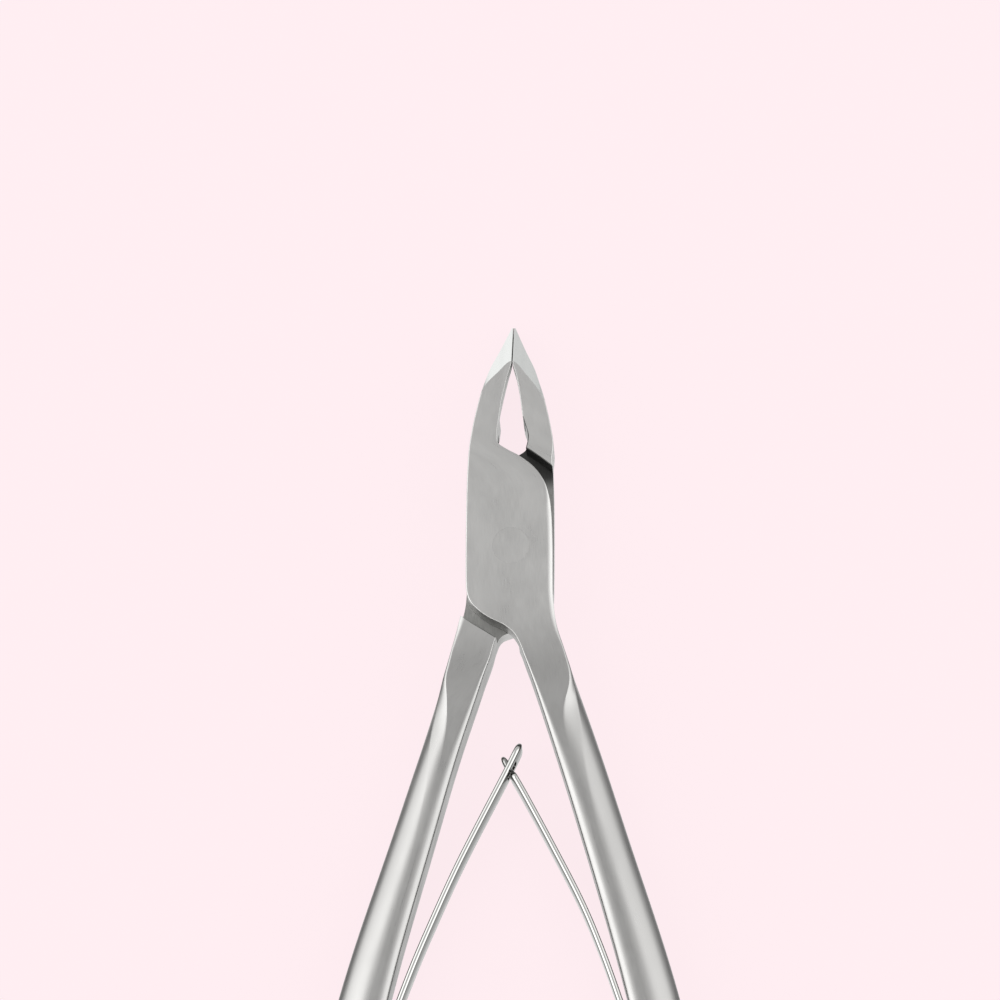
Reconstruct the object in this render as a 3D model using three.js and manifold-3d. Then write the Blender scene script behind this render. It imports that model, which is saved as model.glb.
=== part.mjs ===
// Cuticle nipper with a lap joint: two crossed levers, one pivot rivet, and two leaf springs
// that hook into each other and push the handles apart.
// Millimetres. The tool lies flat: +Z is the front face, +Y points to the tip, and the origin is on
// the pivot axis in the plane of the rear face.
import * as THREE from "three";
import { mergeVertices } from "three/addons/utils/BufferGeometryUtils.js";
import Module from "manifold-3d";

const wasm = await Module();
wasm.setup();

// ---- Driving dimensions ----
const THICKNESS = 7.0;
const MID = THICKNESS / 2;
const LAP_GAP = 0.08; // running gap between the two half-thickness plates

const HEEL_Y = 24.0; // rear end of the cutting edges, on the front face
const EDGE_RUN = 5.6; // forward run of a cutting edge
const EDGE_DROP = 5.1; // how far the edge falls below the front face over that run
const EDGE_GAP = 0.06; // half of the gap that is left between the closed edges
const EDGE_LAND = 2.4; // depth over which the jaws stay parallel behind the edge
const HOLLOW_SLOPE = 0.25; // how fast the inside of a jaw falls away below the land
const HOLLOW_DEPTH = 16.0;
const HONE_DEPTH = 0.09; // small honed chamfer along each edge
const HONE_SLOPE = 0.67;
const HOLLOW_END_Y = 16.8;
const REAR_TAPER_Y = 20.0;
const REAR_TAPER_RISE = 1.0;

const RIVET_R = 1.6;
const RIVET_HEAD_R = 2.3;
const RIVET_HEAD_H = 0.9;
const RIVET_GAP = 0.05;

const SEAT_DEPTH = 0.45;
const SEAT_ANGLE = THREE.MathUtils.degToRad(11.3); // lean of the spring seat off the tool's long axis
const SEAT_X = 17.0;
const SEAT_Y = -67.5;
const FOOT_LENGTH = 10.0;
const LEAF_THICK = 0.75;
const LEAF_WIDE = 5.2;
const TONGUE_WIDE = 1.8;
const SLOT_WIDE = 2.4;
const SLOT_HALF_LENGTH = 1.2;
const END_ROUND = 1.6; // corners of the slotted end
const HOOK_X = -0.16; // where the two leaves cross
const HOOK_Y = -27.83;
const SLOT_LEAN = THREE.MathUtils.degToRad(25.8);
const TONGUE_LEAN = THREE.MathUtils.degToRad(29.4);

const SCREW_R = 0.9;
const SCREW_HEAD_R = 1.5;
const SCREW_HEAD_H = 0.9;
const SCREW_DEPTH = 4.0;
const SCREW_GAP = 0.05;

// ---- Joining and cutting ----
function toSolid(geometry) {
  const bare = geometry.clone();
  bare.deleteAttribute("normal");
  bare.deleteAttribute("uv");
  const merged = mergeVertices(bare, 1e-5);
  const vertProperties = new Float32Array(merged.attributes.position.array);
  const triVerts = new Uint32Array(merged.index.array);
  return new wasm.Manifold(new wasm.Mesh({ numProp: 3, vertProperties, triVerts }));
}

function toGeometry(solid) {
  const mesh = solid.getMesh();
  const geometry = new THREE.BufferGeometry();
  geometry.setAttribute("position", new THREE.BufferAttribute(new Float32Array(mesh.vertProperties), 3));
  geometry.setIndex(new THREE.BufferAttribute(new Uint32Array(mesh.triVerts), 1));
  geometry.computeVertexNormals();
  return geometry;
}

// A flat outline carried straight up from z0 to z1.
function prism(points, z0, z1) {
  const shape = new THREE.Shape(points.map(([x, y]) => new THREE.Vector2(x, y)));
  const geometry = new THREE.ExtrudeGeometry(shape, { depth: z1 - z0, bevelEnabled: false });
  return geometry.translate(0, 0, z0);
}

// Points along a smooth curve through a few given points.
function smooth(points, steps) {
  const knots = points.map(([x, y]) => new THREE.Vector3(x, y, 0));
  const curve = new THREE.CatmullRomCurve3(knots, false, "centripetal");
  return curve.getPoints(steps).map((p) => [p.x, p.y]);
}

// ---- Lever blank ----
// A lever is a stack of sections strung between two long sides. Side A is the outer side of the jaw and
// then the inner side of the handle. Side B is the inner side of the jaw and then the outer side of the
// handle. Each pair of points is one rung.
const FRONT_A = [
  [-0.22, 30.0], [-1.0, 27.9], [-1.87, 25.75], [-2.75, 23.7], [-3.37, 21.65], [-4.0, 19.45],
  [-4.4, 17.8], [-4.78, 16.1], [-5.02, 14.8], [-5.24, 13.4], [-5.36, 12.4], [-5.42, 11.6],
  [-5.5, 10.1], [-5.56, 8.4], [-5.6, 6.5], [-5.62, 4.5], [-5.64, 0.0], [-5.62, -3.5],
  [-5.5, -5.9], [-5.1, -7.1], [-4.15, -8.2], [-2.7, -9.25], [-0.9, -10.15], [0.35, -11.2],
  [1.15, -12.6], [1.8, -14.4], [2.75, -17.0], [3.95, -20.6], [5.6, -25.8], [7.6, -32.2],
  [9.9, -40.0], [12.93, -50.3], [15.1, -58.8], [17.0, -67.5], [19.1, -78.0], [19.85, -85.6],
];
const FRONT_B = [
  [-0.05, 30.0], [-0.05, 28.0], [-0.05, 25.8], [-0.07, 23.9], [-0.6, 21.9], [-1.12, 19.6],
  [-1.45, 17.9], [-1.66, 16.2], [-1.84, 14.7], [-1.72, 13.35], [-0.6, 12.5], [1.1, 11.55],
  [2.9, 10.1], [4.15, 8.3], [4.75, 6.5], [5.0, 4.5], [5.16, 0.5], [5.19, -2.4],
  [5.2, -4.3], [5.21, -5.2], [5.24, -6.1], [5.3, -7.0], [5.42, -8.1], [5.6, -9.4],
  [5.95, -10.9], [6.6, -12.8], [7.5, -15.5], [8.85, -19.1], [10.62, -24.2], [12.72, -30.5],
  [15.1, -38.3], [18.6, -48.4], [21.1, -57.0], [23.35, -66.2], [25.25, -76.8], [25.85, -85.0],
];
// The rear lever has the same pattern, turned over. It is set over by a third of a millimetre in the
// head, so that both plates are ground flush, and its handle stands a little wider at the shoulder.
const REAR_SHIFT_A = { 10: 0.15, 11: 0.3, 12: 0.36, 13: 0.36, 14: 0.36, 15: 0.36, 16: 0.36, 17: 0.36, 18: 0.3,
  19: 0.15, 22: 0.5, 23: 0.95, 24: 0.8, 25: 0.7, 26: 0.7, 27: 0.57, 28: 0.72, 29: 0.45, 30: 0.25,
  31: 0.22, 32: 0.1 };
const REAR_LIFT_A = { 22: -0.05, 23: 0.25, 24: 0.3 };
const REAR_SHIFT_B = { 5: 0.12, 6: 0.23, 7: 0.16, 8: -0.12,
  12: 0.1, 13: 0.3, 14: 0.4, 15: 0.4, 16: 0.4, 17: 0.4,
  18: 0.4, 19: 0.4, 20: 0.42, 21: 0.45, 22: 0.55, 23: 0.75, 24: 0.75, 25: 0.6, 26: 0.45, 27: 0.25 };
const REAR_A = FRONT_A.map(([x, y], i) => [x + (REAR_SHIFT_A[i] || 0), y + (REAR_LIFT_A[i] || 0)]);
const REAR_B = FRONT_B.map(([x, y], i) => [x + (REAR_SHIFT_B[i] || 0), y]);

// How far the round outer side eats into the flat faces, as a share of the width, by distance down
// the handle. At 0.7 the flat has run out and the section is fully crowned.
const CROWN_SHARE = 0.7;
const FRONT_CROWN = [[-12, 0.02], [-14.5, 0.05], [-16, 0.08], [-16.9, 0.13], [-18.8, 0.29], [-19.7, 0.43],
  [-20.5, 0.52], [-21.7, 0.59], [-23.1, 0.63], [-24.5, 0.67], [-26, 0.69], [-30, 0.697]];
const REAR_CROWN = [[-13, 0.003], [-15.5, 0.04], [-17.1, 0.12], [-20.5, 0.33], [-22.8, 0.46], [-26, 0.58],
  [-28.3, 0.62], [-31, 0.66], [-36, 0.697]];
// Rounding of side A: 0.12 mm in the head, growing to a wide shallow corner down the handle.
const CORNER_X = [[-12, 0.12], [-16, 0.3], [-24, 0.8], [-31, 1.2]];
const CORNER_Z = [[-12, 0.12], [-16, 0.3], [-24, 0.45], [-31, 0.65]];

function along(table, y) {
  if (y >= table[0][0]) return table[0][1];
  for (let i = 1; i < table.length; i++) {
    if (y >= table[i][0]) {
      const t = (y - table[i - 1][0]) / (table[i][0] - table[i - 1][0]);
      return table[i - 1][1] + t * (table[i][1] - table[i - 1][1]);
    }
  }
  return table[table.length - 1][1];
}

const ARC_STEPS = 8;
const CORNER_STEPS = 3;
const RING = ARC_STEPS + 1 + 2 * (CORNER_STEPS + 1);

// One closed section, as distances along the rung and heights off the middle plane.
function section(width, y, crownTable) {
  const reach = CROWN_SHARE * width;
  const limit = Math.acos(1 - along(crownTable, y) / CROWN_SHARE);
  const height = MID / Math.sin(limit);
  const cornerX = along(CORNER_X, y);
  const cornerZ = along(CORNER_Z, y);
  const ring = [];
  for (let i = 0; i <= ARC_STEPS; i++) {
    const a = limit * ((2 * i) / ARC_STEPS - 1);
    ring.push([width - reach + reach * Math.cos(a), height * Math.sin(a)]);
  }
  for (let i = 0; i <= CORNER_STEPS; i++) {
    const a = (Math.PI / 2) * (1 + i / CORNER_STEPS);
    ring.push([cornerX + cornerX * Math.cos(a), MID - cornerZ + cornerZ * Math.sin(a)]);
  }
  for (let i = 0; i <= CORNER_STEPS; i++) {
    const a = (Math.PI / 2) * (2 + i / CORNER_STEPS);
    ring.push([cornerX + cornerX * Math.cos(a), cornerZ - MID + cornerZ * Math.sin(a)]);
  }
  return ring;
}

const STEPS_PER_RUNG = 2;
const END_STEPS = [0.3, 0.6, 0.85, 1.1, 1.35]; // angles round the domed handle end, in radians
const END_LENGTH = 3.4;

function leverBlank(sideA, sideB, crownTable) {
  const spans = (sideA.length - 1) * STEPS_PER_RUNG;
  const a = smooth(sideA, spans);
  const b = smooth(sideB, spans);
  const rungs = a.map((p, i) => ({ a: p, b: b[i], scale: 1 }));
  const last = rungs[spans];
  const axis = new THREE.Vector2(last.b[1] - last.a[1], last.a[0] - last.b[0]).normalize();
  for (const angle of END_STEPS) {
    const shift = axis.clone().multiplyScalar(END_LENGTH * Math.sin(angle));
    rungs.push({
      a: [last.a[0] + shift.x, last.a[1] + shift.y],
      b: [last.b[0] + shift.x, last.b[1] + shift.y],
      scale: Math.cos(angle),
    });
  }
  const geometry = new THREE.CylinderGeometry(1, 1, 1, RING, rungs.length - 1);
  const position = geometry.attributes.position;
  for (let v = 0; v < position.count; v++) {
    const rung = rungs[Math.round((0.5 - position.getY(v)) * (rungs.length - 1))];
    const turn = Math.atan2(position.getX(v), position.getZ(v)) / (2 * Math.PI);
    const onAxis = Math.hypot(position.getX(v), position.getZ(v)) < 0.5;
    const dx = rung.b[0] - rung.a[0];
    const dy = rung.b[1] - rung.a[1];
    const width = Math.hypot(dx, dy);
    const middle = [width / 2, 0];
    const ring = section(width, (rung.a[1] + rung.b[1]) / 2, crownTable);
    const raw = onAxis ? middle : ring[(Math.round(-turn * RING) + RING) % RING];
    const across = (width / 2 + (raw[0] - width / 2) * rung.scale) / width;
    position.setXYZ(v, rung.a[0] + dx * across, rung.a[1] + dy * across, MID + raw[1] * rung.scale);
  }
  return toSolid(geometry);
}

// ---- Cutters shared by both levers ----
// Half the thickness is cut away under the head plate, from the shoulder of the jaw to the shoulder of
// the handle. The jaw keeps a small scallop beside the shoulder.
const recess = toSolid(prism([
  [-9, 7.6], [-4.9, 10.4], [-2.5, 12.2], [-1.8, 12.65], [-2.02, 13.6], [-2.05, 14.4], [-1.8, 15.3],
  [-1.3, 16.9], [9, 16.9], [9, -7.05], [6.1, -9.05], [5.0, -9.8], [2.0, -11.65], [1.1, -12.2], [-9, -12.2],
], -1, MID + LAP_GAP / 2));

// The bevel leaves the front face along a curved line and follows the slope of the cutting edges.
const bevelLine = smooth([[-6, 17.0], [-4, 19.5], [-3.3, 20.9], [-1.8, 22.5], [0, HEEL_Y],
  [1.8, 22.2], [3.4, 20.1], [4, 19.1], [6, 16.6]], 24);
const slope = EDGE_RUN / EDGE_DROP;
const bevel = toSolid(prism([...bevelLine, [6, 50], [-6, 50]], -1, THICKNESS + 1).applyMatrix4(
  new THREE.Matrix4().set(1, 0, 0, 0, 0, 1, -slope, slope * THICKNESS, 0, 0, 1, 0, 0, 0, 0, 1)));

// Behind the edges the jaws are parallel for a short depth and then ground hollow.
const hollowBottom = THICKNESS - HOLLOW_DEPTH;
const hollowHalf = EDGE_GAP + HOLLOW_SLOPE * (HOLLOW_DEPTH - EDGE_LAND);
const honeTop = EDGE_GAP + HONE_SLOPE * (HONE_DEPTH + 0.5);
const landBottom = THICKNESS - EDGE_LAND;
const hollowShape = [[-EDGE_GAP, landBottom], [-hollowHalf, hollowBottom], [hollowHalf, hollowBottom],
  [EDGE_GAP, landBottom], [EDGE_GAP, THICKNESS - HONE_DEPTH], [honeTop, THICKNESS + 0.5],
  [-honeTop, THICKNESS + 0.5], [-EDGE_GAP, THICKNESS - HONE_DEPTH]];
const hollowLength = 36 - HOLLOW_END_Y;
const hollow = toSolid(prism(hollowShape, 0, hollowLength).applyMatrix4(new THREE.Matrix4().set(
  -1, 0, 0, 0,
  0, 0, 1, HOLLOW_END_Y,
  0, 1, -1 / slope, (HEEL_Y - HOLLOW_END_Y) / slope,
  0, 0, 0, 1)));

// The rear of each jaw rises towards the tip.
const taperRun = 30 - REAR_TAPER_Y;
const rearTaper = toSolid(prism([[REAR_TAPER_Y, 0], [REAR_TAPER_Y + 3 * taperRun, 3 * REAR_TAPER_RISE],
  [REAR_TAPER_Y + 3 * taperRun, -2], [REAR_TAPER_Y, -2]], -7, 7).applyMatrix4(
  new THREE.Matrix4().set(0, 0, 1, 0, 1, 0, 0, 0, 0, 1, 0, 0, 0, 0, 0, 1)));

function lathed(profile, segments) {
  const points = profile.map(([r, z]) => new THREE.Vector2(r, z));
  return new THREE.LatheGeometry(points, segments).rotateX(Math.PI / 2);
}

// The rivet and its clearance hole share one profile: a pin with a countersunk head at each face.
function rivetProfile(grow, overrun) {
  return [[0, -overrun], [RIVET_HEAD_R + grow, -overrun], [RIVET_HEAD_R + grow, 0],
    [RIVET_R + grow, RIVET_HEAD_H], [RIVET_R + grow, THICKNESS - RIVET_HEAD_H],
    [RIVET_HEAD_R + grow, THICKNESS], [RIVET_HEAD_R + grow, THICKNESS + overrun], [0, THICKNESS + overrun]];
}
const rivetHole = toSolid(lathed(rivetProfile(RIVET_GAP, 1), 48));

// Spring seat: a flat ground on the inner side of the handle, with a blind hole for the screw.
const seatFrame = new THREE.Matrix4().makeBasis(
  new THREE.Vector3(Math.sin(SEAT_ANGLE), -Math.cos(SEAT_ANGLE), 0),
  new THREE.Vector3(0, 0, -1),
  new THREE.Vector3(Math.cos(SEAT_ANGLE), Math.sin(SEAT_ANGLE), 0)).setPosition(SEAT_X, SEAT_Y, MID);
const SEAT_START = -6.5;
const SEAT_END = FOOT_LENGTH + 0.6;
const SCREW_AT = FOOT_LENGTH / 2;
const seat = toSolid(new THREE.BoxGeometry(SEAT_END - SEAT_START, 9, 4)
  .translate((SEAT_END + SEAT_START) / 2, 0, SEAT_DEPTH - 2).applyMatrix4(seatFrame));
const screwHole = toSolid(new THREE.CylinderGeometry(SCREW_R + SCREW_GAP, SCREW_R + SCREW_GAP, 6, 24)
  .rotateX(Math.PI / 2).translate(SCREW_AT, 0, SEAT_DEPTH + SCREW_DEPTH + 0.2 - 3).applyMatrix4(seatFrame));

// ---- Levers ----
function machinedLever(sideA, sideB, crownTable) {
  return leverBlank(sideA, sideB, crownTable).subtract(recess).subtract(seat).subtract(screwHole);
}
const turnOver = new THREE.Matrix4().makeRotationY(Math.PI).setPosition(0, 0, THICKNESS);

const frontLever = machinedLever(FRONT_A, FRONT_B, FRONT_CROWN)
  .subtract(bevel).subtract(hollow).subtract(rearTaper).subtract(rivetHole);
const rearLever = toSolid(toGeometry(machinedLever(REAR_A, REAR_B, REAR_CROWN)).applyMatrix4(turnOver))
  .subtract(bevel).subtract(hollow).subtract(rearTaper).subtract(rivetHole);

// ---- Leaf springs ----
// Both leaves are drawn for the right-hand side. The left one is turned over onto the left handle.
const footEnd = [SEAT_X + FOOT_LENGTH * Math.sin(SEAT_ANGLE), SEAT_Y - FOOT_LENGTH * Math.cos(SEAT_ANGLE)];
const tonguePath = [[-1.05, -26.25], [0.5, -29.0], [1.26, -30.3], [5.25, -37.7], [9.15, -45.4], [11.6, -51.4],
  [14.0, -58.2], [15.7, -63.0], [16.47, -65.5], [SEAT_X, SEAT_Y], footEnd];
const slotEnd = [-1.3, -24.8];
const slotPath = [slotEnd, [0.38, -28.3], [1.03, -29.6], [6.33, -40.2], [9.78, -48.0], [11.72, -52.7],
  [13.85, -58.4], [15.55, -63.1], [16.47, -65.5], [SEAT_X, SEAT_Y], footEnd];

function leafBlank(path) {
  const line = smooth(path, 44);
  const left = [];
  const right = [];
  line.forEach((p, i) => {
    const before = line[Math.max(i - 1, 0)];
    const after = line[Math.min(i + 1, line.length - 1)];
    const length = Math.hypot(after[0] - before[0], after[1] - before[1]);
    const nx = -(after[1] - before[1]) / length;
    const ny = (after[0] - before[0]) / length;
    left.push([p[0] + (nx * LEAF_THICK) / 2, p[1] + (ny * LEAF_THICK) / 2]);
    right.unshift([p[0] - (nx * LEAF_THICK) / 2, p[1] - (ny * LEAF_THICK) / 2]);
  });
  return toSolid(prism([...left, ...right], MID - LEAF_WIDE / 2, MID + LEAF_WIDE / 2)).subtract(screwHole);
}

// The tongue is the narrowed end of the right leaf.
const TONGUE_LENGTH = 2.8;
const sideWaste = (LEAF_WIDE - TONGUE_WIDE) / 2;
const tongueWaste = (side) => toSolid(new THREE.BoxGeometry(8, 2 * TONGUE_LENGTH, sideWaste + 1)
  .translate(0, 0, side * (TONGUE_WIDE / 2 + (sideWaste + 1) / 2))
  .applyMatrix4(new THREE.Matrix4().makeRotationZ(TONGUE_LEAN).setPosition(-1.05, -26.25, MID)));
const rightLeaf = leafBlank(tonguePath).subtract(tongueWaste(1)).subtract(tongueWaste(-1));

// The slot near the end of the left leaf takes the tongue.
const slot = toSolid(new THREE.BoxGeometry(3, 2 * SLOT_HALF_LENGTH, SLOT_WIDE)
  .applyMatrix4(new THREE.Matrix4().makeRotationZ(SLOT_LEAN).setPosition(-HOOK_X, HOOK_Y, MID)));
function cornerWaste(side) {
  const corner = toSolid(new THREE.BoxGeometry(3, 2 * END_ROUND, 2 * END_ROUND));
  const kept = toSolid(new THREE.CylinderGeometry(END_ROUND, END_ROUND, 4, 32).rotateZ(Math.PI / 2)
    .translate(0, -END_ROUND, -side * END_ROUND));
  return toSolid(toGeometry(corner.subtract(kept)).translate(0, 0, (side * LEAF_WIDE) / 2)
    .applyMatrix4(new THREE.Matrix4().makeRotationZ(SLOT_LEAN).setPosition(slotEnd[0], slotEnd[1], MID)));
}
const slottedLeaf = leafBlank(slotPath).subtract(slot).subtract(cornerWaste(1)).subtract(cornerWaste(-1));
const leftLeaf = toSolid(toGeometry(slottedLeaf).applyMatrix4(turnOver));

// ---- Spring screws: a slotted cheese head and a plain shank ----
const headBase = SEAT_DEPTH - 0.05 - LEAF_THICK - 0.05;
const screwEnd = SEAT_DEPTH + SCREW_DEPTH;
function screwSolid() {
  const profile = [[0, headBase - SCREW_HEAD_H], [SCREW_HEAD_R - 0.25, headBase - SCREW_HEAD_H],
    [SCREW_HEAD_R, headBase - SCREW_HEAD_H + 0.25], [SCREW_HEAD_R, headBase], [SCREW_R, headBase],
    [SCREW_R, screwEnd - 0.4], [SCREW_R - 0.35, screwEnd], [0, screwEnd]];
  const body = toSolid(lathed(profile, 24).translate(SCREW_AT, 0, 0).applyMatrix4(seatFrame));
  const groove = toSolid(new THREE.BoxGeometry(0.45, 2 * SCREW_HEAD_R + 1, 0.45)
    .translate(SCREW_AT, 0, headBase - SCREW_HEAD_H + 0.2).applyMatrix4(seatFrame));
  return body.subtract(groove);
}

// ---- Scene ----
const nipper = new THREE.Group();
function add(name, geometry, color, roughness) {
  const mesh = new THREE.Mesh(geometry, new THREE.MeshStandardMaterial({ color, roughness, metalness: 1 }));
  mesh.name = name;
  nipper.add(mesh);
}
add("front_lever", toGeometry(frontLever), 0xb9bab7, 0.32);
add("rear_lever", toGeometry(rearLever), 0xb4b5b2, 0.32);
add("pivot_rivet", toGeometry(toSolid(lathed(rivetProfile(0, 0), 48))), 0xb0b1ae, 0.35);
add("left_spring_leaf", toGeometry(leftLeaf), 0xc4c4c2, 0.15);
add("right_spring_leaf", toGeometry(rightLeaf), 0xc4c4c2, 0.15);
add("right_spring_screw", toGeometry(screwSolid()), 0xa9a9a6, 0.28);
const leftScrew = toSolid(toGeometry(screwSolid()).applyMatrix4(turnOver));
add("left_spring_screw", toGeometry(leftScrew), 0xa9a9a6, 0.28);

export default nipper;
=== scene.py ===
import bpy
import numpy as np
from mathutils import Matrix, Vector


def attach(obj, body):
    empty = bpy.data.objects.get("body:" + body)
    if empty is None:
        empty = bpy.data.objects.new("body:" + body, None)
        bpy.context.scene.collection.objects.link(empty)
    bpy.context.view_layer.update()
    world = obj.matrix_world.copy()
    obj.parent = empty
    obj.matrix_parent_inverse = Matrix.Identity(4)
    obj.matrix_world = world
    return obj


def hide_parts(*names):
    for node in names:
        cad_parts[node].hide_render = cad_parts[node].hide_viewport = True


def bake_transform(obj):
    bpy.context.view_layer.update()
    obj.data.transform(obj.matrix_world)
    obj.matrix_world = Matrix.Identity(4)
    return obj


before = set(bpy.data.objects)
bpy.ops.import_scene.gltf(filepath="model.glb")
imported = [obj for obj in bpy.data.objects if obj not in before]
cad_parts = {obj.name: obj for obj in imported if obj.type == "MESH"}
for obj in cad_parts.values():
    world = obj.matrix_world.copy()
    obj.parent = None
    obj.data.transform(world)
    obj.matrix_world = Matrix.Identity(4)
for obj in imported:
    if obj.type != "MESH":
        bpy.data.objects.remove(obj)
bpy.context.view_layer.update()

# ---------------------------------------------------------------------------------------------
# The two levers. Each is one stainless forging: a jaw, half of the lap joint, and the handle on
# the other side. The blank is forged and ground to shape, the lap is milled to half thickness,
# and the jaws are ground last. The whole surface is satin finished, and the bevels are polished.
# ---------------------------------------------------------------------------------------------
MM = 0.001
THICK = 7.0
MID = THICK / 2
LAP_GAP = 0.08
HEEL_Y = 24.0
EDGE_SLOPE = 5.6 / 5.1      # forward run of a cutting edge for each millimetre that it drops
EDGE_GAP, EDGE_LAND = 0.03, 2.4
HOLLOW_SLOPE, HOLLOW_DEPTH = 0.25, 16.0
HONE_DEPTH, HONE_SLOPE = 0.09, 0.67
HOLLOW_END = 16.8
TAPER_START = 20.0
TAPER_RISE = 1.0 / 10.0

# Pairs of points: side A is the outside of the jaw and then the inside of the handle, and side B
# is the inside of the jaw and then the outside of the handle.
SIDE_A = np.array([
    [-0.22, 30.0], [-1.0, 27.9], [-1.87, 25.75], [-2.75, 23.7], [-3.37, 21.65], [-4.0, 19.45],
    [-4.4, 17.8], [-4.78, 16.1], [-5.02, 14.8], [-5.24, 13.4], [-5.36, 12.4], [-5.42, 11.6],
    [-5.5, 10.1], [-5.56, 8.4], [-5.6, 6.5], [-5.62, 4.5], [-5.64, 0.0], [-5.62, -3.5],
    [-5.5, -5.9], [-5.1, -7.1], [-4.15, -8.2], [-2.7, -9.25], [-0.9, -10.15], [0.35, -11.2],
    [1.15, -12.6], [1.8, -14.4], [2.75, -17.0], [3.95, -20.6], [5.6, -25.8], [7.6, -32.2],
    [9.9, -40.0], [12.93, -50.3], [15.1, -58.8], [17.0, -67.5], [19.1, -78.0], [19.85, -85.6]])
SIDE_B = np.array([
    [-0.02, 30.0], [-0.02, 28.0], [-0.02, 25.8], [-0.05, 23.9], [-0.6, 21.9], [-1.12, 19.6],
    [-1.45, 17.9], [-1.66, 16.2], [-1.84, 14.7], [-1.72, 13.35], [-0.6, 12.5], [1.1, 11.55],
    [2.9, 10.1], [4.15, 8.3], [4.75, 6.5], [5.0, 4.5], [5.16, 0.5], [5.19, -2.4],
    [5.2, -4.3], [5.21, -5.2], [5.24, -6.1], [5.3, -7.0], [5.42, -8.1], [5.6, -9.4],
    [5.95, -10.9], [6.6, -12.8], [7.5, -15.5], [8.85, -19.1], [10.62, -24.2], [12.72, -30.5],
    [15.1, -38.3], [18.6, -48.4], [21.1, -57.0], [23.35, -66.2], [25.25, -76.8], [25.85, -85.0]])
# The rear lever is set over in the head, and its handle stands a little wider at the shoulder.
SHIFT_A = {10: 0.15, 11: 0.3, 12: 0.36, 13: 0.36, 14: 0.36, 15: 0.36, 16: 0.36, 17: 0.36, 18: 0.3,
           19: 0.15, 22: 0.5, 23: 0.95, 24: 0.8, 25: 0.7, 26: 0.7, 27: 0.57, 28: 0.72, 29: 0.45, 30: 0.25,
           31: 0.22, 32: 0.1}
LIFT_A = {22: -0.05, 23: 0.25, 24: 0.3}
SHIFT_B = {5: 0.12, 6: 0.23, 7: 0.16, 8: -0.12, 12: 0.1, 13: 0.3, 14: 0.4, 15: 0.4, 16: 0.4, 17: 0.4,
           18: 0.4, 19: 0.4, 20: 0.42, 21: 0.45, 22: 0.55, 23: 0.75, 24: 0.75, 25: 0.6, 26: 0.45, 27: 0.25}
REAR_A = SIDE_A + np.array([[SHIFT_A.get(i, 0.0), LIFT_A.get(i, 0.0)] for i in range(len(SIDE_A))])
REAR_B = SIDE_B + np.array([[SHIFT_B.get(i, 0.0), 0.0] for i in range(len(SIDE_B))])

# Share of the width that the round outer side takes from the flat faces, by distance down the handle.
CROWN_SHARE = 0.7
FRONT_CROWN = ([-36, -30, -26, -24.5, -23.1, -21.7, -20.5, -19.7, -18.8, -16.9, -16, -12, 7],
               [0.697, 0.61, 0.53, 0.49, 0.44, 0.39, 0.31, 0.225, 0.11, 0.024, 0.012, 0.005, 0.003])
REAR_CROWN = ([-40, -36, -31, -28.3, -26, -22.8, -20.5, -18.0, -15],
              [0.697, 0.65, 0.57, 0.50, 0.41, 0.25, 0.113, 0.012, 0.003])
# Size of the soft corner on side A, and of the facet that blends the crown into the flat on side B:
# its length along the flat, its length down the side, and how round it is (0 flat, 1 round).
CORNER_X = ([-31, -24, -16, -12], [1.45, 0.9, 0.3, 0.12])
CORNER_Z = ([-31, -24, -16, -12], [0.65, 0.45, 0.3, 0.12])
FACET_Y = [-40, -36, -29, -26, -23, -20, -18.5, -17.5, -14, -10, 5, 8.5]
FACET_FLAT = (FACET_Y, [0.3, 0.35, 0.6, 0.95, 1.15, 1.0, 0.6, 0.3, 0.2, 0.6, 0.6, 0.08])
FACET_SIDE = (FACET_Y, [0.3, 0.35, 0.6, 0.95, 1.3, 1.2, 0.8, 0.4, 0.2, 0.22, 0.22, 0.08])
FACET_ROUND = (FACET_Y, [1, 1, 0.9, 0.7, 0.45, 0.35, 0.35, 0.5, 0.8, 0.5, 0.5, 1])
END_LENGTH = 3.4
# The last part of the handle, in knots of the outline, goes over towards an oval section.
OVAL_END, OVAL_KNOTS = 0.8, 0.6


def spline(points, t):
    """Centripetal Catmull-Rom curve through points, at knot parameters t: a cubic on each span
    whose end slopes come from the neighbouring points, weighted by the root of their distance."""
    p = np.vstack([2 * points[0] - points[1], points, 2 * points[-1] - points[-2]])
    i = np.clip(np.floor(t).astype(int), 0, len(points) - 2)
    u = (t - i)[:, None]
    p0, p1, p2, p3 = p[i], p[i + 1], p[i + 2], p[i + 3]
    spans = ((p0, p1), (p1, p2), (p2, p3))
    d0, d1, d2 = (np.sqrt(np.linalg.norm(b - a, axis=1))[:, None] for a, b in spans)
    m1 = ((p1 - p0) / d0 - (p2 - p0) / (d0 + d1) + (p2 - p1) / d1) * d1
    m2 = ((p2 - p1) / d1 - (p3 - p1) / (d1 + d2) + (p3 - p2) / d2) * d1
    return p1 + m1 * u + (3 * (p2 - p1) - 2 * m1 - m2) * u ** 2 + (2 * (p1 - p2) + m1 + m2) * u ** 3


def faired(values, sigma):
    """Running average of a row of values with a bell-shaped weight, ends held by reflection."""
    n = int(3 * sigma) + 1
    weight = np.exp(-0.5 * (np.arange(-n, n + 1) / sigma) ** 2)
    weight /= weight.sum()
    v = np.asarray(values, float).reshape(len(values), -1)
    v = np.vstack([2 * v[0] - v[n:0:-1], v, 2 * v[-1] - v[-2:-n - 2:-1]])
    out = np.stack([np.convolve(v[:, k], weight, "valid") for k in range(v.shape[1])], axis=1)
    return out.reshape(np.shape(values))


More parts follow.
